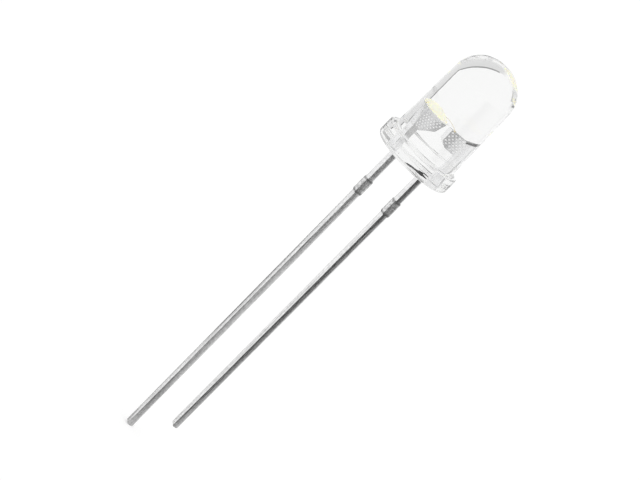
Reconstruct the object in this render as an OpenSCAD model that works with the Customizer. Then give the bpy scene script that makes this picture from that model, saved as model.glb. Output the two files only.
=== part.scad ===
// Round 5 mm through hole LED: clear cast lens, two stamped leads, chip under a phosphor drop.
// The lens axis is Z, the leads point down, and the origin is the middle of the flange's underside.

/* [Lens] */
// Diameter of the barrel where it leaves the flange
barrel_d = 5.0; // [4.4:0.1:6.0]
// Height from the flange's underside to the top of the dome
lens_h = 8.75; // [7.5:0.05:11]
// Height of the dome above the barrel
dome_h = 2.15; // [1.2:0.05:2.6]
// Draft of the barrel's wall, in degrees
draft = 1.6; // [0:0.1:2.5]

/* [Flange] */
// How far the flange stands out from the barrel
flange_reach = 0.45; // [0.4:0.05:0.8]
// Thickness of the flange
flange_t = 1.2; // [0.7:0.05:1.5]
// Radius of the flange's upper edge
flange_edge_r = 0.08; // [0.02:0.01:0.12]
// Radius of the flange's lower edge
flange_foot_r = 0.2; // [0.05:0.01:0.3]
// Radius of the fillet where the barrel meets the flange
barrel_fillet_r = 0.28; // [0.05:0.01:0.3]
// How far the cathode flat stands out from the barrel
flat_stand = 0.05; // [0:0.01:0.2]
// Depth of the hollow that the setting epoxy leaves in the underside
dish_depth = 0.12; // [0.02:0.01:0.3]
// Width of the level rim round that hollow
dish_rim_w = 0.3; // [0.2:0.05:0.6]
// How far the epoxy creeps down each lead
creep_h = 0.3; // [0.1:0.05:1]
// How far that creep stands off the lead's corners at its lower end
creep_skin = 0.03; // [0.01:0.01:0.1]
// How far it stands off them at the underside
creep_foot = 0.16; // [0.05:0.01:0.25]

/* [Leads] */
// Distance between the middles of the two leads
lead_pitch = 2.54; // [2.2:0.01:3]
// Width of a lead, across the frame
lead_w = 0.5; // [0.35:0.01:0.6]
// Thickness of the sheet that the leads are stamped from
sheet_t = 0.5; // [0.35:0.01:0.6]
// Radius of a lead's long edges
lead_edge_r = 0.1; // [0.02:0.01:0.15]
// Length of the anode lead below the flange
anode_l = 26.9; // [20:0.1:32]
// Length of the cathode lead below the flange
cathode_l = 25.1; // [18:0.1:30]
// Height of the sheared slope at a lead's tip
tip_bevel = 0.12; // [0.03:0.01:0.2]

/* [Dam bar stubs] */
// Distance from the flange down to a stub
stub_drop = 2.65; // [2:0.05:6]
// Length of a stub along its lead
stub_l = 1.3; // [0.8:0.05:2]
// How far a stub stands out on each side of its lead
stub_reach = 0.07; // [0.04:0.01:0.4]
// Height of the slope at each end of a stub
stub_slope = 0.16; // [0.05:0.01:0.35]

/* [Reflector cup] */
// Height of the cup's rim above the flange's underside
cup_z = 3.6; // [3.2:0.05:4.2]
// Radius of the rim
cup_r = 0.98; // [0.7:0.01:1.1]
// Radius of the cup's outside at its foot
cup_foot_r = 0.45; // [0.3:0.01:0.8]
// Height of the cup's outside
cup_h = 0.3; // [0.25:0.01:0.6]
// Depth of the bowl
bowl_depth = 0.2; // [0.15:0.01:0.25]
// Radius of the bowl's floor
bowl_floor_r = 0.45; // [0.3:0.01:0.6]
// Width of the level rim round the bowl
rim_w = 0.12; // [0.11:0.01:0.2]
// How far the cup's middle lies inboard of the anode lead
cup_inset = 0.29; // [0.2:0.01:0.7]
// Half the width of the anvil under the cup
anvil_half_w = 0.84; // [0.6:0.01:0.95]
// How far the anvil laps up the side of the cup
anvil_lap = 0.18; // [0.05:0.01:0.25]
// Half the width of the anvil at its shoulder
shoulder_half_w = 0.65; // [0.5:0.01:0.8]
// Height of the shoulder
shoulder_z = 2.66; // [2.4:0.01:3.1]
// Height at which the anvil's stem begins to widen
anvil_neck_z = 2.0; // [1.2:0.05:2.3]

/* [Cathode post] */
// Height of the post's top
post_z = 3.5; // [3:0.05:4.2]
// How far the post's outer corner rises above its top
ear_h = 0.36; // [0.05:0.01:0.5]
// Height of the flag
flag_h = 1.18; // [0.8:0.02:1.4]
// Height of the corner cut off the flag's lower inner end
flag_cut_h = 0.29; // [0.1:0.01:0.6]
// Width of that corner
flag_cut_w = 0.29; // [0.1:0.01:0.6]
// How far the flag's lower edge falls from the cut corner to the stem
flag_slope = 0.05; // [0.02:0.01:0.4]
// Gap between the cup's rim and the flag
post_gap = 0.22; // [0.15:0.01:0.5]

/* [Knurl] */
// Distance between the knurl's points along a row
knurl_pitch = 0.2; // [0.15:0.01:0.3]
// Distance between rows, each of which is shifted by half a pitch
knurl_row_pitch = 0.16; // [0.12:0.01:0.3]
// Width of a point at its foot
knurl_w = 0.16; // [0.08:0.01:0.17]
// Height of a point
knurl_h = 0.015; // [0.01:0.005:0.05]
// Size of a point's top against its foot
knurl_top = 0.25; // [0.1:0.05:0.6]
// Distance from a post's edges to the middles of the nearest points
knurl_margin = 0.1; // [0.09:0.01:0.2]

/* [Chip and phosphor] */
// Side of the square chip
chip_w = 0.3; // [0.2:0.01:0.4]
// Thickness of the chip
chip_t = 0.1; // [0.08:0.01:0.2]
// Thickness of the adhesive under the chip
attach_t = 0.02; // [0.01:0.005:0.05]
// How far the adhesive shows round the chip
attach_margin = 0.03; // [0.01:0.01:0.06]
// Height of the phosphor's dome above the cup's rim
phosphor_h = 0.47; // [0.2:0.01:0.6]

/* [Bond wires] */
// Diameter of a bond wire
wire_d = 0.03; // [0.025:0.005:0.05]
// Radius of the pressed bond at each end
bond_r = 0.05; // [0.045:0.005:0.055]
// Height of the pressed bond
bond_h = 0.06; // [0.05:0.005:0.08]
// How far each wire's pad lies from the middle of the chip
pad_offset = 0.08; // [0.06:0.01:0.09]
// How high the anode wire's loop rises over the line between its bonds
anode_loop = 0.2; // [0.15:0.01:0.35]
// How high the cathode wire's loop rises over the line between its bonds
cathode_loop = 0.3; // [0.25:0.01:0.5]
// How far the cathode bond lies in from the flag's inner end
stitch_inset = 0.2; // [0.1:0.01:0.4]

/* [Hidden] */

$fn = 96;
dome_steps = 36;
edge_steps = 8;
dish_steps = 12;
past = 1;
knurl_sink = 0.005;
bond_sink = 0.001;

barrel_r = barrel_d / 2;
flange_r = barrel_r + flange_reach;
dome_z = lens_h - dome_h;
barrel_z = flange_t + barrel_fillet_r;
dome_r = barrel_r - (dome_z - barrel_z) * tan(draft);
flat_x = barrel_r + flat_stand;
dish_r = flange_r - flange_foot_r - dish_rim_w;
dish_arc_r = (dish_r * dish_r + dish_depth * dish_depth) / (2 * dish_depth);
dish_arc = asin(dish_r / dish_arc_r);

anode_x = -lead_pitch / 2;
cathode_x = lead_pitch / 2;
lead_corner = norm([lead_w, sheet_t]) / 2;
fillet_r = min(lead_edge_r, lead_w / 3, sheet_t / 3);

cup_x = anode_x + cup_inset;
cup_foot_z = cup_z - cup_h;
bowl_r = cup_r - rim_w;
bowl_z = cup_z - bowl_depth;
flag_x = cup_x + cup_r + post_gap;
flag_z = post_z - flag_h;
knurl_side = knurl_w / sqrt(2);

chip_z = bowl_z + attach_t;
chip_top = chip_z + chip_t;
cap_r = (bowl_r * bowl_r + phosphor_h * phosphor_h) / (2 * phosphor_h);

// Where each wire leaves the chip and where it lands, as the point on the metal under the bond
anode_pad = [cup_x - pad_offset, chip_top];
anode_landing = [cup_x - bowl_r - rim_w / 2, cup_z];
cathode_pad = [cup_x + pad_offset, chip_top];
cathode_landing = [flag_x + stitch_inset, post_z];

// Points along an arc, from one angle to another
function arc(middle, radius, from, to, steps) =
    [for (i = [0 : steps]) let (a = from + (to - from) * i / steps) middle + radius * [cos(a), sin(a)]];

// Points up the dome's ellipse, from the barrel to the axis
function dome_curve() =
    [for (i = [0 : dome_steps]) let (a = 90 * i / dome_steps) [dome_r * cos(a), dome_z + dome_h * sin(a)]];

// Half section of the lens, from the middle of the underside round to the top
module lens_section() {
    polygon(concat(
        arc([0, dish_depth - dish_arc_r], dish_arc_r, 90, 90 - dish_arc, dish_steps),
        arc([flange_r - flange_foot_r, flange_foot_r], flange_foot_r, -90, 0, edge_steps),
        arc([flange_r - flange_edge_r, flange_t - flange_edge_r], flange_edge_r, 0, 90, edge_steps),
        arc([barrel_r + barrel_fillet_r, barrel_z], barrel_fillet_r, 270, 180, edge_steps),
        dome_curve()
    ));
}

// Epoxy that crept down a lead, from the hollow of the underside
module creep(x) {
    translate([x, 0, -creep_h])
        cylinder(h = creep_h + dish_depth, r1 = lead_corner + creep_skin, r2 = lead_corner + creep_foot);
}

module lens_body() {
    difference() {
        rotate_extrude() lens_section();
        translate([flat_x, -flange_r, -past])
            cube([flange_r, 2 * flange_r, barrel_z + past]);
    }
    creep(anode_x);
    creep(cathode_x);
}

// Flat stamping drawn in the XZ plane, as thick as the sheet
module stamped() {
    rotate([90, 0, 0]) linear_extrude(sheet_t, center = true) children();
}

// Bar with rounded long edges, hung between two heights and inside an outline drawn in the XZ plane
module rounded_bar(width, low, high) {
    intersection() {
        translate([0, 0, high]) mirror([0, 0, 1]) linear_extrude(high - low) {
            square([width - 2 * fillet_r, sheet_t], center = true);
            square([width, sheet_t - 2 * fillet_r], center = true);
            for (x = [-1, 1], y = [-1, 1])
                translate([x * (width / 2 - fillet_r), y * (sheet_t / 2 - fillet_r)]) circle(fillet_r);
        }
        rotate([90, 0, 0]) linear_extrude(2 * sheet_t, center = true) children();
    }
}

// Square lead on its own axis, from its sheared tip up to a height, with its core running on into its post
module lead_bar(length, top) {
    half_w = lead_w / 2;
    rounded_bar(lead_w, -length, top) polygon([
        [tip_bevel - half_w, -length], [half_w - tip_bevel, -length], [half_w, tip_bevel - length],
        [half_w, top], [-half_w, top], [-half_w, tip_bevel - length]
    ]);
    translate([0, 0, top]) cube([half_w, sheet_t / 2, lead_w], center = true);
}

// What is left of the dam bar where it was sheared off a lead
module stub() {
    half_w = lead_w / 2 + stub_reach;
    foot = -stub_drop - stub_l;
    rounded_bar(2 * half_w, foot, -stub_drop) polygon([
        [-lead_w / 2, foot], [lead_w / 2, foot], [half_w, foot + stub_slope], [half_w, -stub_drop - stub_slope],
        [lead_w / 2, -stub_drop], [-lead_w / 2, -stub_drop], [-half_w, -stub_drop - stub_slope],
        [-half_w, foot + stub_slope]
    ]);
}

// Whether a point lies inside an outline, run anticlockwise and nowhere hollow, by at least a margin
function inside(p, outline, margin) =
    min([for (i = [0 : len(outline) - 1])
        let (a = outline[i], b = outline[(i + 1) % len(outline)]) cross(b - a, p - a) / norm(b - a)]) >= margin;

// Where the knurl's points lie on an outline, row by row
function knurl_points(outline) =
    let (low = [min([for (p = outline) p[0]]), min([for (p = outline) p[1]])],
         high = [max([for (p = outline) p[0]]), max([for (p = outline) p[1]])])
    [for (row = [0 : floor((high[1] - low[1]) / knurl_row_pitch)])
        for (x = [low[0] + (row % 2) * knurl_pitch / 2 : knurl_pitch : high[0]])
            let (p = [x, low[1] + row * knurl_row_pitch]) if (inside(p, outline, knurl_margin)) p];

// Blunt points pressed up on both faces of a post, within an outline
module knurl(outline) {
    for (p = knurl_points(outline), side = [-1, 1])
        translate([p[0], side * (sheet_t / 2 - knurl_sink), p[1]]) rotate([-90 * side, 0, 0])
            linear_extrude(knurl_sink + knurl_h, scale = knurl_top) rotate(45) square(knurl_side, center = true);
}

// Turned to hang down from the middle of the cup's rim
module below_rim() {
    translate([cup_x, 0, cup_z]) mirror([0, 0, 1]) children();
}

// Anode stamping before its bowl is coined
module anode_blank() {
    translate([anode_x, 0, 0]) {
        lead_bar(anode_l, anvil_neck_z);
        stub();
    }
    lap_z = cup_foot_z + anvil_lap;
    neck = [[anode_x - lead_w / 2, anvil_neck_z], [anode_x + lead_w / 2, anvil_neck_z]];
    right = [[cup_x + shoulder_half_w, shoulder_z], [cup_x + anvil_half_w, lap_z]];
    left = [[cup_x - anvil_half_w, lap_z], [cup_x - shoulder_half_w, shoulder_z]];
    stamped() polygon(concat(neck, right, left));
    knurl(concat(neck, right, [[cup_x - shoulder_half_w, lap_z]]));
    below_rim() cylinder(h = cup_h, r1 = cup_r, r2 = cup_foot_r);
}

// The bowl, up to the level of the cup's rim
module bowl() {
    below_rim() cylinder(h = bowl_depth, r1 = bowl_r, r2 = bowl_floor_r);
}

// The phosphor that stands above the rim
module phosphor_cap() {
    intersection() {
        translate([cup_x, 0, cup_z + phosphor_h - cap_r]) sphere(cap_r);
        translate([cup_x - past, -past, cup_z]) cube(2 * past);
    }
}

// Wire on a round loop from a left to a right point on metal, with a pressed bond at each end, sunk by some depth
module bond_wire(start, end, rise, sink) {
    lift = [0, bond_h / 2];
    chord = end - start;
    half = norm(chord) / 2;
    loop_r = (half * half + rise * rise) / (2 * rise);
    tilt = atan2(chord[1], chord[0]);
    half_arc = atan2(half, loop_r - rise);
    middle = (start + end) / 2 + lift - (loop_r - rise) * [-sin(tilt), cos(tilt)];
    translate([middle[0], 0, middle[1]]) rotate([90, 0, 0]) rotate(tilt + 90 - half_arc)
        rotate_extrude(angle = 2 * half_arc) translate([loop_r, 0]) circle(d = wire_d, $fn = 24);
    for (p = [start, end])
        translate([p[0], 0, p[1] - sink]) cylinder(h = bond_h + sink, r = bond_r, $fn = 32);
}

module epoxy_lens() {
    color([0.93, 0.95, 0.96, 0.4])
        difference() {
            lens_body();
            anode_blank();
            cathode_lead();
            phosphor_cap();
            anode_bond_wire(bond_sink);
            cathode_bond_wire(bond_sink);
        }
}

module anode_lead() {
    color([0.74, 0.74, 0.76])
        difference() {
            anode_blank();
            bowl();
        }
}

module cathode_lead() {
    stem_z = flag_z - flag_slope;
    color([0.74, 0.74, 0.76]) {
        translate([cathode_x, 0, 0]) {
            lead_bar(cathode_l, stem_z);
            stub();
        }
        inner_x = cathode_x - lead_w / 2;
        outer_x = cathode_x + lead_w / 2;
        flag = [[flag_x, post_z], [flag_x, flag_z + flag_cut_h], [flag_x + flag_cut_w, flag_z], [inner_x, stem_z]];
        stamped() polygon(concat(flag, [[outer_x, stem_z], [outer_x, post_z + ear_h], [inner_x, post_z]]));
        knurl(concat(flag, [[cathode_x, stem_z], [cathode_x, post_z]]));
    }
}

module die_attach() {
    attach_w = chip_w + 2 * attach_margin;
    color([0.85, 0.85, 0.82])
        translate([cup_x - attach_w / 2, -attach_w / 2, bowl_z]) cube([attach_w, attach_w, attach_t]);
}

module led_chip() {
    color([0.45, 0.55, 0.75])
        translate([cup_x - chip_w / 2, -chip_w / 2, chip_z]) cube([chip_w, chip_w, chip_t]);
}

module phosphor_fill() {
    color([0.93, 0.9, 0.35])
        difference() {
            union() {
                bowl();
                phosphor_cap();
            }
            die_attach();
            led_chip();
            anode_bond_wire();
            cathode_bond_wire();
        }
}

module anode_bond_wire(sink = 0) {
    color([0.9, 0.7, 0.25]) bond_wire(anode_landing, anode_pad, anode_loop, sink);
}

module cathode_bond_wire(sink = 0) {
    color([0.9, 0.7, 0.25]) bond_wire(cathode_pad, cathode_landing, cathode_loop, sink);
}

epoxy_lens();
anode_lead();
cathode_lead();
die_attach();
led_chip();
phosphor_fill();
anode_bond_wire();
cathode_bond_wire();
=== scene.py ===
"""Looks of a round through hole LED: clear lens, tinned leads, knurled posts and a phosphor drop."""
import math

import bpy
from mathutils import Matrix, Vector


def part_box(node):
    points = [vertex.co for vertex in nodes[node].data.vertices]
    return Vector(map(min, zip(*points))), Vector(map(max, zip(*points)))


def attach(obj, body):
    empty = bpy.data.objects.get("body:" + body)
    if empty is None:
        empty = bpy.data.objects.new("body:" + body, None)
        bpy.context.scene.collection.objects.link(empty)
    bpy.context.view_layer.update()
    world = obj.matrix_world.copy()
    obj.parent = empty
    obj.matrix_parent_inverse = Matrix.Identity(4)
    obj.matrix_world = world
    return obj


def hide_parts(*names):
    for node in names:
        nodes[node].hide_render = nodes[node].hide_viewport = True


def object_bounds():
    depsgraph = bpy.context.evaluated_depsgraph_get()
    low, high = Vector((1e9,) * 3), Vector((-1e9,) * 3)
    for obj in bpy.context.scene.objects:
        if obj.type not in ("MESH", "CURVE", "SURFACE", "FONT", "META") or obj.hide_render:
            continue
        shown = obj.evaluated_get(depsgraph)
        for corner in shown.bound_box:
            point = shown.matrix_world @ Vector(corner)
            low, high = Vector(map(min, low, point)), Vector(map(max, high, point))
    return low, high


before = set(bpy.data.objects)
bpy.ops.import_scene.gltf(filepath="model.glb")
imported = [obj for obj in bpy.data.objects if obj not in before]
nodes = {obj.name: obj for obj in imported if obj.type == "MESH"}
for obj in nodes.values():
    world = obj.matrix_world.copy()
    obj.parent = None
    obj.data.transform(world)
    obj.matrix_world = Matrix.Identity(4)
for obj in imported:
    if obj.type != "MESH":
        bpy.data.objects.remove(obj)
cad_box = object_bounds()

# Lengths below are in millimetres, angles in degrees and noise scales per millimetre.
# Stops are pairs of a place on a ramp and the tone, shade or roughness there.
MM = 0.001

# Camera, fitted to the photograph, whose width and focal length are in pixels
IMAGE_W = 640
FOCAL_PIXELS = 1920.7
SENSOR_W = 36.0
VIEW_AZIMUTH = -24.0
VIEW_ELEVATION = 16.0
VIEW_ROLL = 44.62
VIEW_DISTANCE = 125.0
VIEW_ACROSS = -0.654
VIEW_UP = -7.834
CLIP_NEAR = 5.0
CLIP_FAR = 20000.0

# Lens, as the construction has it
LENS_SEGMENTS = 288
DOME_STEPS = 72
BARREL_STEPS = 24
EDGE_STEPS = 10
DISH_STEPS = 72
DOME_H = 2.15
BARREL_R = 2.5
BARREL_DRAFT = 1.6
FLANGE_T = 1.2
FLANGE_EDGE_R = 0.08
FLANGE_FOOT_R = 0.2
BARREL_FILLET_R = 0.28
FLAT_STAND = 0.05
DISH_DEPTH = 0.12
DISH_RIM_W = 0.3
CREEP_H = 0.3
CREEP_INNER = 0.34
CREEP_OUTER = 0.52
SHARP_ANGLE = 38.0

# Clear epoxy
EPOXY_TINT = (0.915, 0.917, 0.914)
EPOXY_IOR = 1.56
HAZE_SCALE = 1.6
HAZE_STOPS = ((0.35, 0.0), (0.8, 0.035))
RIPPLE_SCALE = 0.9
FINE_RIPPLE_SCALE = 2.6
FINE_RIPPLE_SHARE = 0.07
RIPPLE_H = 0.012

# Leads and posts, as the construction has them
LEAD_PITCH = 2.54
SHEET_T = 0.5
EDGE_R = 0.1
STUB_Z = -3.3
STUB_HALF_L = 0.65
EAR_X = 1.02
EAR_Z = 3.5

# Where the finishes and painted shades of the leads begin and end: heights, or distances from an edge
DIP_Z = 0.2
WEAR_Z = (0.0, -12.0)
STEM_Z = (0.9, 2.2)
STEM_FADE = 0.4
STUB_FADE = 0.1
STUB_END = (0.25, 0.08)
KNURL_H = (0.0005, 0.004)
EAR_TOP_SLOPE = 0.45
EAR_SHADE_SKIN = 0.16

# Tin: tones, and the painted shades of the ear's top and the stub's ends
TIN_STOPS = ((0.3, (0.78, 0.78, 0.79)), (0.5, (0.9, 0.9, 0.905)), (0.75, (0.96, 0.96, 0.96)))
WORN_SHARES = ((0.3, 0.8), (0.65, 1.15))
STUB_SCALE = 5.0
STUB_STOPS = ((0.4, 0.5), (0.6, 0.82))
# Painted shade at the stub's ends
STUB_END_SHADE = 0.25
KNURL_TONE = 0.99
# Painted shade: the dark bar on the ear's sloped top
EAR_TOP_SHADE = 0.15

# Tin: roughness
BLOTCH_SCALE = 1.1
BLOTCH_PLACES = (0.3, 0.75)
INNER_ROUGHNESS = (0.12, 0.22)
KNURL_ROUGHNESS = 0.35
STUB_ROUGHNESS = 0.27

# Tin: streaks drawn along the lead, grain, and the crown of a dipped face
STREAK_SCALE = 1.4
STREAK_STRETCH = (6.0, 6.0, 0.35)
STREAK_H = 0.01
GRAIN_SCALE = 4.5
GRAIN_STOPS = ((0.38, 1.0), (0.6, 0.0))
GRAIN_DEPTH = 0.2
GRAIN_H = 0.006
TIN_CROWN = 0.012

# Phosphor, with a painted glow
PHOSPHOR_SCALE = 14.0
PHOSPHOR_STOPS = ((0.3, (0.97, 0.95, 0.72)), (0.7, (0.99, 0.98, 0.84)))
PHOSPHOR_GRAIN_H = 0.01
PHOSPHOR_ROUGHNESS = 0.55
PHOSPHOR_PAINTED_GLOW = (1.0, 0.95, 0.72)
PHOSPHOR_PAINTED_GLOW_STRENGTH = 0.1
PHOSPHOR_SCATTER = 0.4
PHOSPHOR_SCATTER_R = (0.2, 0.17, 0.06)

# Small pieces inside
SPECKLE_PLACES = (0.35, 0.65)
SPECKLE_SHARES = ((0.3, 0.8), (0.7, 1.2))

# Floor, and how much whiter it looks than its own colour
FLOOR_HALF_W = 2000.0
FLOOR_GREY = 0.97
FLOOR_ROUGHNESS = 0.9
FLOOR_LIFT = 0.07

# Card on the floor before the part, with its dark far edge
CARD_MIDDLE = (-3.0, 4.0)
CARD_LIFT = 0.02
CARD_LEFT = -40.0
CARD_REACH = 300.0
CARD_EDGE_Y = 25.0
CARD_EDGE_SLOPE = 0.15
CARD_EDGE_NEAR = 12.0
CARD_EDGE_W = 2.2
CARD_EDGE_FAR_W = 13.75
CARD_EDGE_SHADE = 0.25

# Shades of that card by turn round its middle, as a share of a full turn from -X anticlockwise
PLAIN_SHADES = ((0.405, 1.0), (0.46, 0.75), (0.66, 0.75), (0.7, 1.0))
POST_SHADES = ((0.19, 1.0), (0.225, 0.9), (0.262, 0.8), (0.285, 0.45), (0.3, 0.3), (0.32, 0.3),
               (0.345, 0.45), (0.375, 0.88), (0.405, 0.58), (0.48, 0.75), (0.66, 0.75), (0.7, 1.0))
LEAD_SHADES = ((0.25, 1.0), (0.27, 0.8), (0.285, 0.25), (0.3, 0.03), (0.32, 0.03),
               (0.345, 0.4), (0.39, 0.8), (0.48, 0.9))
NEAR_SHADES = ((0.25, 1.0), (0.285, 0.55), (0.345, 0.6), (0.39, 0.8), (0.48, 0.9))
NEAR_REACH = (5.0, 11.0)

# Cards behind, as their two turns to the right of +Y and their shade, and the one at the side
BACK_CARDS = {"back_card": (-10.0, 14.0, 0.2), "right_card": (30.0, 62.0, 0.5)}
BACK_APEX = (-1.4, 0.4)
BACK_REACH = 150.0
SIDE_CARD = (-80.0, -28.0)
SIDE_REACH = (30.0, 52.0)
SIDE_SHADE = 0.5

# Strips far behind: their shade and course, as turn to the right of +Y, rise and width
FAR_DISTANCE = 250.0
FAR_STRIPS = {
    "far_edge": (0.03, ((29.0, 20.5, 1.2), (22.0, 17.5, 4.0), (15.0, 14.5, 8.0),
                        (8.0, 12.0, 10.0), (-4.0, 9.0, 10.0), (-12.0, 7.0, 3.0))),
    "far_side": (0.5, ((84.0, 8.0, 9.0), (66.0, 10.0, 12.0), (48.0, 9.0, 9.0))),
}

# World, whose noise scale is by direction
WORLD_SCALE = 1.5
WORLD_STOPS = ((0.3, 0.97), (0.6, 1.0))

# Most turns of a light path, enough for light that is caught in the lens
BOUNCES = 32
DIFFUSE_BOUNCES = 8


def place_camera():
    """Camera at the photograph's viewing angle, rolled so that the leads run down to the left."""
    azimuth, elevation = math.radians(VIEW_AZIMUTH), math.radians(VIEW_ELEVATION)
    back = Vector((math.sin(azimuth) * math.cos(elevation), -math.cos(azimuth) * math.cos(elevation),
                   math.sin(elevation)))
    right = Vector((math.cos(azimuth), math.sin(azimuth), 0.0))
    up = back.cross(right)
    place = (back * VIEW_DISTANCE + right * VIEW_ACROSS + up * VIEW_UP) * MM
    roll = math.radians(VIEW_ROLL)
    across = right * math.cos(roll) + up * math.sin(roll)
    upward = up * math.cos(roll) - right * math.sin(roll)
    data = bpy.data.cameras.new("camera")
    data.sensor_width = SENSOR_W
    data.lens = FOCAL_PIXELS * SENSOR_W / IMAGE_W
    data.clip_start = CLIP_NEAR * MM
    data.clip_end = CLIP_FAR * MM
    camera = bpy.data.objects.new("camera", data)
    turn = Matrix((across, upward, back)).transposed().to_4x4()
    camera.matrix_world = Matrix.Translation(place) @ turn
    bpy.context.scene.collection.objects.link(camera)
    bpy.context.scene.camera = camera


def add_mesh(name, vertices, faces, material, smooth=True):
    """New object from points in millimetres."""
    mesh = bpy.data.meshes.new(name)
    mesh.from_pydata([Vector(v) * MM for v in vertices], [], faces)
    mesh.update()
    if smooth:
        mesh.shade_smooth()
        mesh.set_sharp_from_angle(angle=math.radians(SHARP_ANGLE))
    mesh.materials.append(material)
    obj = bpy.data.objects.new(name, mesh)
    bpy.context.scene.collection.objects.link(obj)
    return obj


# Node helpers

def new_material(name):
    """New material, with its node tree and its shader."""
    material = bpy.data.materials.new(name)
    material.use_nodes = True
    tree = material.node_tree
    return material, tree, tree.nodes["Principled BSDF"]


def add_node(tree, kind, inputs=None, **settings):
    """A node with its settings, and its inputs either set to a value or linked from a socket."""
    node = tree.nodes.new(kind)
    for name, value in settings.items():
        setattr(node, name, value)
    for key, value in (inputs or {}).items():
        if isinstance(value, bpy.types.NodeSocket):
            tree.links.new(value, node.inputs[key])
        else:
            node.inputs[key].default_value = value
    return node


def maths(tree, operation, *values):
    """One sum on numbers or sockets."""
    node = add_node(tree, "ShaderNodeMath", dict(enumerate(values)), operation=operation)
    return node.outputs["Value"]


def vector_maths(tree, operation, *values):
    """One sum on vectors or sockets, which gives a vector or, for some sums, a number."""
    node = add_node(tree, "ShaderNodeVectorMath", dict(enumerate(values)), operation=operation)
    return node.outputs["Value" if operation in ("DOT_PRODUCT", "LENGTH") else "Vector"]


def fade(tree, value, start, end):
    """Nought up to a start, rising evenly to one at an end; the end may be the smaller of the two."""
    node = add_node(tree, "ShaderNodeMapRange", {"Value": value, "From Min": start, "From Max": end})
    return node.outputs["Result"]


def millimetres(tree, scale=(1.0, 1.0, 1.0)):
    """Object coordinates in millimetres, stretched by a scale."""
    coordinates = add_node(tree, "ShaderNodeTexCoord")
    mapping = add_node(tree, "ShaderNodeMapping", {"Vector": coordinates.outputs["Object"]})
    mapping.inputs["Scale"].default_value = [s / MM for s in scale]
    return mapping.outputs["Vector"]


def noise(tree, vector, scale, detail=3.0, roughness=0.55):
    """Soft noise between nought and one."""
    inputs = {"Vector": vector, "Scale": scale, "Detail": detail, "Roughness": roughness}
    return add_node(tree, "ShaderNodeTexNoise", inputs).outputs["Fac"]


def rgba(colour):
    """Colour with full cover, from three numbers or one grey number."""
    return (*colour, 1.0) if isinstance(colour, tuple) else (colour, colour, colour, 1.0)


def ramp(tree, factor, *stops):
    """Colour ramp through (place, colour) stops, where a colour may be one grey number."""
    node = add_node(tree, "ShaderNodeValToRGB", {"Fac": factor})
    elements = node.color_ramp.elements
    while len(elements) < len(stops):
        elements.new(0.5)
    for element, (place, colour) in zip(elements, stops):
        element.position = place
        element.color = rgba(colour)
    return node.outputs["Color"]


def blend(tree, factor, colour, other):
    """One colour turning into another; either is a socket, a colour or one grey number."""
    node = add_node(tree, "ShaderNodeMix", {0: factor}, data_type="RGBA")
    for socket, value in ((node.inputs[6], colour), (node.inputs[7], other)):
        if isinstance(value, bpy.types.NodeSocket):
            tree.links.new(value, socket)
        else:
            socket.default_value = rgba(value)
    return node.outputs[2]


def bump(tree, height, distance=1.0):
    """Bump of a real height, in millimetres."""
    return add_node(tree, "ShaderNodeBump", {"Height": height, "Distance": distance * MM}).outputs["Normal"]


# Materials

def clear_epoxy():
    """Water-clear cast epoxy: a polished skin with faint casting ripple and handling haze."""
    material, tree, shader = new_material("clear_epoxy")
    shader.inputs["Base Color"].default_value = rgba(EPOXY_TINT)
    shader.inputs["Transmission Weight"].default_value = 1.0
    shader.inputs["IOR"].default_value = EPOXY_IOR
    place = millimetres(tree)
    haze = ramp(tree, noise(tree, place, HAZE_SCALE), *HAZE_STOPS)
    tree.links.new(haze, shader.inputs["Roughness"])
    broad = noise(tree, place, RIPPLE_SCALE, detail=1.0)
    fine = noise(tree, place, FINE_RIPPLE_SCALE, detail=1.0)
    ripple = maths(tree, "MULTIPLY_ADD", fine, FINE_RIPPLE_SHARE, broad)
    tree.links.new(bump(tree, ripple, RIPPLE_H), shader.inputs["Normal"])
    return material


def ear_top_shade(tree, axes):
    """One at the ear's sloped top, which carries a dark painted shade, and nought elsewhere."""
    rise = maths(tree, "MULTIPLY_ADD", axes["X"], -EAR_TOP_SLOPE, axes["Z"])
    top = EAR_Z - EAR_X * EAR_TOP_SLOPE
    near = fade(tree, rise, top - EAR_SHADE_SKIN, top - EAR_SHADE_SKIN / 2)
    return maths(tree, "MULTIPLY", near, maths(tree, "GREATER_THAN", axes["X"], EAR_X))


def lead_masks(tree, place):
    """Where each finish of a lead lies: one there, and nought elsewhere."""
    axes = add_node(tree, "ShaderNodeSeparateXYZ", {"Vector": place}).outputs
    depth = maths(tree, "ABSOLUTE", axes["Y"])
    face = SHEET_T / 2
    stem = fade(tree, depth, face - EDGE_R / 2, face)
    for end, step in zip(STEM_Z, (STEM_FADE, -STEM_FADE)):
        stem = maths(tree, "MULTIPLY", stem, fade(tree, axes["Z"], end, end + step))
    from_stub = maths(tree, "ABSOLUTE", maths(tree, "SUBTRACT", axes["Z"], STUB_Z))
    return {
        "dipped": fade(tree, axes["Z"], DIP_Z, -DIP_Z),
        "worn": fade(tree, axes["Z"], *WEAR_Z),
        "knurl": fade(tree, depth, *(face + height for height in KNURL_H)),
        "ear": ear_top_shade(tree, axes),
        "stem": stem,
        "stub": fade(tree, from_stub, STUB_HALF_L, STUB_HALF_L - STUB_FADE),
        "stub_end": fade(tree, from_stub, *(STUB_HALF_L - inset for inset in STUB_END)),
    }


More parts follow.
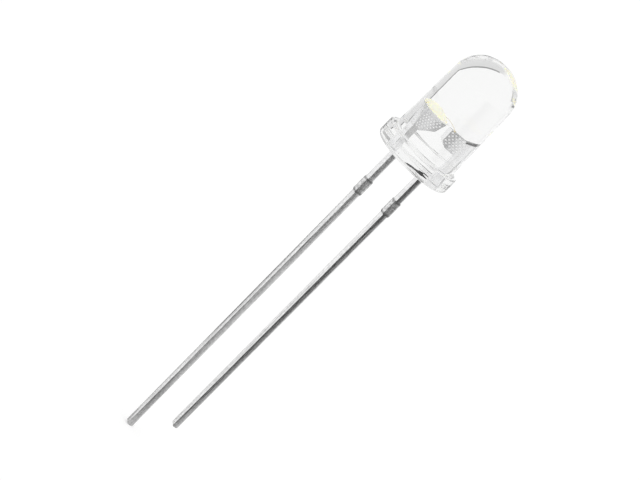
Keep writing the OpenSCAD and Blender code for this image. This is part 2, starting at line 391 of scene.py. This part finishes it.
def lead_tone(tree, place, masks, streaks, grain, stem_shade, worn_tone):
    """Tones of a lead, painted shades among them, each laid over the ones before it."""
    worn = ramp(tree, streaks, *((stop, min(worn_tone * share, 1.0)) for stop, share in WORN_SHARES))
    stub_tin_and_shade = ramp(tree, noise(tree, place, STUB_SCALE), *STUB_STOPS)
    # Painted shade darkens the stub's ends, over the thin tin
    stub_tin_and_shade = blend(tree, masks["stub_end"], stub_tin_and_shade, STUB_END_SHADE)
    dulled = maths(tree, "MULTIPLY", masks["dipped"], GRAIN_DEPTH)
    dulled = maths(tree, "MULTIPLY", dulled, ramp(tree, grain, *GRAIN_STOPS))
    tone = ramp(tree, streaks, *TIN_STOPS)
    # The ear and stem layers are painted shades, not finishes
    layers = ((masks["knurl"], KNURL_TONE), (masks["ear"], EAR_TOP_SHADE), (masks["stem"], stem_shade),
              (masks["worn"], worn), (dulled, 0.0), (masks["stub"], stub_tin_and_shade))
    for mask, over in layers:
        tone = blend(tree, mask, tone, over)
    return tone


def lead_roughness(tree, place, masks, dip_roughness, worn_roughness):
    """Roughness of a lead: blotched inside and outside the lens, and even where it is worn or sheared."""
    blotches = noise(tree, place, BLOTCH_SCALE)
    inside = ramp(tree, blotches, *zip(BLOTCH_PLACES, INNER_ROUGHNESS))
    inside = blend(tree, masks["knurl"], inside, KNURL_ROUGHNESS)
    outside = ramp(tree, blotches, *zip(BLOTCH_PLACES, dip_roughness))
    outside = blend(tree, masks["worn"], outside, worn_roughness)
    outside = blend(tree, masks["stub"], outside, STUB_ROUGHNESS)
    return blend(tree, masks["dipped"], inside, outside)


def lead_relief(tree, place, masks, streaks, grain, lead_x, lean):
    """Height of the tin, in millimetres. It stands up along the middle of each dipped face, or aside of the
    middle by a lean where it is worn, and has streaks and grain."""
    shift = vector_maths(tree, "MULTIPLY", (-lean, -lean, 0.0), masks["worn"])
    away = vector_maths(tree, "SUBTRACT", place, (lead_x, 0.0, 0.0))
    away = vector_maths(tree, "SUBTRACT", away, shift)
    away = vector_maths(tree, "MULTIPLY", away, (2 / SHEET_T, 2 / SHEET_T, 0.0))
    crown = maths(tree, "MULTIPLY", vector_maths(tree, "DOT_PRODUCT", away, away), masks["dipped"])
    crown = maths(tree, "MULTIPLY", crown, -TIN_CROWN)
    height = maths(tree, "MULTIPLY_ADD", streaks, STREAK_H, crown)
    return maths(tree, "MULTIPLY_ADD", maths(tree, "MULTIPLY", grain, masks["dipped"]), GRAIN_H, height)


def tinned_steel(name, lead_x, stem_shade, dip_roughness, worn_roughness, worn_tone, lean):
    """Tinned steel of the lead at some x. It is bright inside the lens, where the knurl's points are frosted.
    Outside it is dipped; the tin wears downwards and lies thinly on the stub. Painted shade darkens the ear's
    top, the stub's ends and the stem's faces."""
    material, tree, shader = new_material(name)
    shader.inputs["Metallic"].default_value = 1.0
    place = millimetres(tree)
    masks = lead_masks(tree, place)
    streaks = noise(tree, millimetres(tree, STREAK_STRETCH), STREAK_SCALE, detail=5.0, roughness=0.65)
    grain = noise(tree, place, GRAIN_SCALE, detail=4.0, roughness=0.65)
    tone = lead_tone(tree, place, masks, streaks, grain, stem_shade, worn_tone)
    roughness = lead_roughness(tree, place, masks, dip_roughness, worn_roughness)
    relief = lead_relief(tree, place, masks, streaks, grain, lead_x, lean)
    tree.links.new(tone, shader.inputs["Base Color"])
    tree.links.new(roughness, shader.inputs["Roughness"])
    tree.links.new(bump(tree, relief), shader.inputs["Normal"])
    return material


def phosphor():
    """Yellow phosphor grains set in clear resin, with a faint painted glow that stands in for their
    fluorescence and brightens them the same in any light.
    """
    material, tree, shader = new_material("phosphor")
    grains = noise(tree, millimetres(tree), PHOSPHOR_SCALE, detail=4.0)
    tree.links.new(ramp(tree, grains, *PHOSPHOR_STOPS), shader.inputs["Base Color"])
    tree.links.new(bump(tree, grains, PHOSPHOR_GRAIN_H), shader.inputs["Normal"])
    shader.inputs["Roughness"].default_value = PHOSPHOR_ROUGHNESS
    # Painted glow: a faint light of the phosphor's own, though it is no lamp
    shader.inputs["Emission Color"].default_value = rgba(PHOSPHOR_PAINTED_GLOW)
    shader.inputs["Emission Strength"].default_value = PHOSPHOR_PAINTED_GLOW_STRENGTH
    shader.inputs["Subsurface Weight"].default_value = PHOSPHOR_SCATTER
    shader.inputs["Subsurface Radius"].default_value = [r * MM for r in PHOSPHOR_SCATTER_R]
    return material


def speckled(name, dark, light, roughness, scale, metallic=0.0):
    """Plain fine-grained finish for the small pieces inside."""
    material, tree, shader = new_material(name)
    shader.inputs["Metallic"].default_value = metallic
    grain = noise(tree, millimetres(tree), scale)
    tone = ramp(tree, grain, *zip(SPECKLE_PLACES, (dark, light)))
    tree.links.new(tone, shader.inputs["Base Color"])
    uneven = ramp(tree, grain, *((stop, roughness * share) for stop, share in SPECKLE_SHARES))
    tree.links.new(uneven, shader.inputs["Roughness"])
    return material


# Lens

def arc(middle, radius, start, end, steps):
    """Points along an arc of a half section, from one angle to another."""
    turns = [math.radians(start + (end - start) * i / steps) for i in range(steps + 1)]
    return [(middle[0] + radius * math.cos(a), middle[1] + radius * math.sin(a)) for a in turns]


def lens_profile(flange_r, lens_h):
    """Half section from the middle of the underside round to the top of the dome."""
    dish_r = flange_r - FLANGE_FOOT_R - DISH_RIM_W
    dish_arc_r = (dish_r ** 2 + DISH_DEPTH ** 2) / (2 * DISH_DEPTH)
    dish = []
    for i in range(DISH_STEPS + 1):
        r = dish_r * i / DISH_STEPS
        dish.append((r, DISH_DEPTH - dish_arc_r + math.sqrt(dish_arc_r ** 2 - r ** 2)))
    foot_z = FLANGE_T + BARREL_FILLET_R
    dome_z = lens_h - DOME_H
    dome_r = BARREL_R - (dome_z - foot_z) * math.tan(math.radians(BARREL_DRAFT))
    shares = [i / BARREL_STEPS for i in range(1, BARREL_STEPS)]
    barrel = [(BARREL_R + (dome_r - BARREL_R) * t, foot_z + (dome_z - foot_z) * t) for t in shares]
    turns = [math.pi / 2 * i / DOME_STEPS for i in range(DOME_STEPS + 1)]
    dome = [(dome_r * math.cos(a), dome_z + DOME_H * math.sin(a)) for a in turns]
    return (dish
            + arc((flange_r - FLANGE_FOOT_R, FLANGE_FOOT_R), FLANGE_FOOT_R, -90, 0, EDGE_STEPS)
            + arc((flange_r - FLANGE_EDGE_R, FLANGE_T - FLANGE_EDGE_R), FLANGE_EDGE_R, 0, 90, EDGE_STEPS)
            + arc((BARREL_R + BARREL_FILLET_R, foot_z), BARREL_FILLET_R, 270, 180, EDGE_STEPS)
            + barrel + dome)


def creep(x, y):
    """How far the epoxy hangs down at a point of the underside, where it crept along a lead."""
    away = min(math.hypot(x - lead_x, y) for lead_x in (-LEAD_PITCH / 2, LEAD_PITCH / 2))
    t = min(max((CREEP_OUTER - away) / (CREEP_OUTER - CREEP_INNER), 0.0), 1.0)
    return (CREEP_H + DISH_DEPTH) * t * t * (3 - 2 * t)


def make_lens():
    """One closed skin of clear epoxy; what is set in it stands inside."""
    low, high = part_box("epoxy_lens")
    profile = lens_profile(-low.y / MM, high.z / MM)
    flat_x = BARREL_R + FLAT_STAND
    flat_top = FLANGE_T + BARREL_FILLET_R
    rings = profile[1:-1]
    vertices = []
    for i, (r, z) in enumerate(rings):
        for k in range(LENS_SEGMENTS):
            turn = 2 * math.pi * k / LENS_SEGMENTS
            x, y = r * math.cos(turn), r * math.sin(turn)
            hang = creep(x, y) if i < DISH_STEPS else 0.0
            if z <= flat_top:
                x = min(x, flat_x)
            vertices.append((x, y, z - hang))
    faces = []
    for i in range(len(rings) - 1):
        for k in range(LENS_SEGMENTS):
            a, b = i * LENS_SEGMENTS + k, i * LENS_SEGMENTS + (k + 1) % LENS_SEGMENTS
            faces.append((a, b, b + LENS_SEGMENTS, a + LENS_SEGMENTS))
    last = (len(rings) - 1) * LENS_SEGMENTS
    vertices += [(0.0, 0.0, profile[0][1]), (0.0, 0.0, profile[-1][1])]
    bottom, top = len(vertices) - 2, len(vertices) - 1
    for k in range(LENS_SEGMENTS):
        after = (k + 1) % LENS_SEGMENTS
        faces.append((bottom, after, k))
        faces.append((top, last + k, last + after))
    lens = add_mesh("lens", vertices, faces, clear_epoxy())
    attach(lens, "root")
    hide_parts("epoxy_lens")


# Studio

def make_floor():
    """Pale floor, a little whiter to the eye and in glass and metal, so that it lights nothing more."""
    material, tree, shader = new_material("floor")
    shader.inputs["Base Color"].default_value = rgba(FLOOR_GREY)
    shader.inputs["Roughness"].default_value = FLOOR_ROUGHNESS
    shader.inputs["Specular IOR Level"].default_value = 0.0
    shader.inputs["Emission Color"].default_value = rgba(1.0)
    path = add_node(tree, "ShaderNodeLightPath").outputs
    mirrored = maths(tree, "MAXIMUM", path["Is Glossy Ray"], path["Is Transmission Ray"])
    seen = maths(tree, "MAXIMUM", path["Is Camera Ray"], mirrored)
    tree.links.new(maths(tree, "MULTIPLY", seen, FLOOR_LIFT), shader.inputs["Emission Strength"])
    w, z = FLOOR_HALF_W, cad_box[0][2] / MM
    corners = [(-w, -w, z), (w, -w, z), (w, w, z), (-w, w, z)]
    add_mesh("floor", corners, [(0, 1, 2, 3)], material, smooth=False)


def hide_from_camera(obj):
    """Leaves a card to glass and metal alone, as a studio keeps one out of the picture."""
    obj.visible_camera = False
    obj.visible_diffuse = False
    obj.visible_shadow = False


def emitting(name):
    """New material that only emits, with its node tree and its emission."""
    material, tree, shader = new_material(name)
    tree.nodes.remove(shader)
    glow = add_node(tree, "ShaderNodeEmission")
    tree.links.new(glow.outputs["Emission"], tree.nodes["Material Output"].inputs["Surface"])
    return material, tree, glow


def turned(turn, reach, z):
    """Point at some height and distance out, turned to the right of +Y."""
    a = math.radians(turn)
    return (reach * math.sin(a), reach * math.cos(a), z)


def card_edge_y(x):
    """Where the far edge of the card before the part runs."""
    return CARD_EDGE_Y + x * CARD_EDGE_SLOPE


def plain_card(name, shade, vertices, faces):
    """Card of one shade."""
    material, _, glow = emitting(name)
    glow.inputs["Color"].default_value = rgba(shade)
    card = add_mesh(name, vertices, faces, material, smooth=False)
    hide_from_camera(card)
    return card


def front_card(name, z, shades, other_shades, choose):
    """Card lying before the part. Its shades by turn give way to others where the chosen factor is one."""
    material, tree, glow = emitting(name)
    place = add_node(tree, "ShaderNodeTexCoord").outputs["Object"]
    turn = add_node(tree, "ShaderNodeTexGradient", {"Vector": place}, gradient_type="RADIAL").outputs["Fac"]
    shade = blend(tree, choose(tree, place), ramp(tree, turn, *shades), ramp(tree, turn, *other_shades))
    tree.links.new(shade, glow.inputs["Color"])
    corners = [(CARD_LEFT, card_edge_y(CARD_LEFT)), (CARD_LEFT, -CARD_REACH),
               (CARD_REACH, -CARD_REACH), (CARD_REACH, card_edge_y(CARD_REACH))]
    corners = [(x - CARD_MIDDLE[0], y - CARD_MIDDLE[1], z) for x, y in corners]
    card = add_mesh(name, corners, [(0, 1, 2, 3)], material, smooth=False)
    card.location = (CARD_MIDDLE[0] * MM, CARD_MIDDLE[1] * MM, 0.0)
    hide_from_camera(card)
    return card


def once_mirrored(tree, _):
    """Nought for what is seen straight through the lens, and one for what the metal in it mirrors."""
    return add_node(tree, "ShaderNodeLightPath").outputs["Glossy Depth"]


def farther_off(tree, place):
    """Nought near the middle of the card and one farther off."""
    away = vector_maths(tree, "LENGTH", vector_maths(tree, "MULTIPLY", place, (1.0, 1.0, 0.0)))
    return fade(tree, away, NEAR_REACH[0] * MM, NEAR_REACH[1] * MM)


def make_cards():
    """Grey card lying before the part, with a dark far edge, and the ones behind and beside it.
    The lens and the posts in it see one form of the first card, and the leads see a darker one instead."""
    z = cad_box[0][2] / MM + CARD_LIFT
    front_card("lens_card", z, PLAIN_SHADES, POST_SHADES, once_mirrored).visible_glossy = False
    front_card("lead_card", z, NEAR_SHADES, LEAD_SHADES, farther_off).visible_transmission = False
    corners = []
    for x, width in ((CARD_EDGE_NEAR, CARD_EDGE_W), (CARD_REACH, CARD_EDGE_FAR_W)):
        corners += [(x, card_edge_y(x) + side * width / 2, z + CARD_LIFT) for side in (-1, 1)]
    plain_card("card_edge", CARD_EDGE_SHADE, corners, [(0, 2, 3, 1)])
    for name, (left, right, shade) in BACK_CARDS.items():
        corners = [(*BACK_APEX, z), turned(left, BACK_REACH, z), turned(right, BACK_REACH, z)]
        plain_card(name, shade, corners, [(0, 2, 1)]).visible_transmission = False
    corners = [turned(turn, reach, z) for turn in SIDE_CARD for reach in SIDE_REACH]
    plain_card("side_card", SIDE_SHADE, corners, [(0, 2, 3, 1)])


def make_far_strips():
    """Strips far behind, above the floor, that the lens bends into view."""
    for name, (shade, course) in FAR_STRIPS.items():
        vertices = []
        for turn, rise, width in course:
            for edge in (rise - width / 2, rise + width / 2):
                e = math.radians(edge)
                vertices.append(turned(turn, FAR_DISTANCE * math.cos(e), FAR_DISTANCE * math.sin(e)))
        faces = [(2 * i, 2 * i + 1, 2 * i + 3, 2 * i + 2) for i in range(len(course) - 1)]
        plain_card(name, shade, vertices, faces)


def light_world():
    """Soft white light from all round, with the faint unevenness of a lit tent."""
    world = bpy.data.worlds.new("studio")
    bpy.context.scene.world = world
    world.use_nodes = True
    tree = world.node_tree
    background = tree.nodes["Background"]
    facing = add_node(tree, "ShaderNodeTexCoord").outputs["Generated"]
    tree.links.new(ramp(tree, noise(tree, facing, WORLD_SCALE), *WORLD_STOPS), background.inputs["Color"])
    background.inputs["Strength"].default_value = 1.0


scene = bpy.context.scene
scene.view_settings.view_transform = "Standard"
scene.cycles.max_bounces = BOUNCES
scene.cycles.glossy_bounces = BOUNCES
scene.cycles.transmission_bounces = BOUNCES
scene.cycles.diffuse_bounces = DIFFUSE_BOUNCES
scene.cycles.blur_glossy = 0.0
place_camera()
make_lens()

gold = speckled("gold_wire", dark=(0.9, 0.78, 0.5), light=(0.97, 0.88, 0.66), roughness=0.25, scale=40.0,
                metallic=1.0)
finishes = {
    # The anode's stem faces take a darker painted shade than the cathode's
    "anode_lead": tinned_steel("tinned_steel_anode", -LEAD_PITCH / 2, stem_shade=0.7, dip_roughness=(0.2, 0.3),
                               worn_roughness=0.2, worn_tone=0.85, lean=0.4),
    "cathode_lead": tinned_steel("tinned_steel_cathode", LEAD_PITCH / 2, stem_shade=0.9,
                                 dip_roughness=(0.08, 0.16), worn_roughness=0.14, worn_tone=0.9, lean=0.0),
    "die_attach": speckled("die_attach", dark=(0.78, 0.78, 0.74), light=(0.9, 0.9, 0.87), roughness=0.4,
                           scale=30.0),
    "led_chip": speckled("led_chip", dark=(0.25, 0.35, 0.55), light=(0.4, 0.5, 0.7), roughness=0.15,
                         scale=20.0),
    "phosphor_fill": phosphor(),
    "anode_bond_wire": gold,
    "cathode_bond_wire": gold,
}
for name, material in finishes.items():
    nodes[name].data.materials.clear()
    nodes[name].data.materials.append(material)

make_floor()
make_cards()
make_far_strips()
light_world()
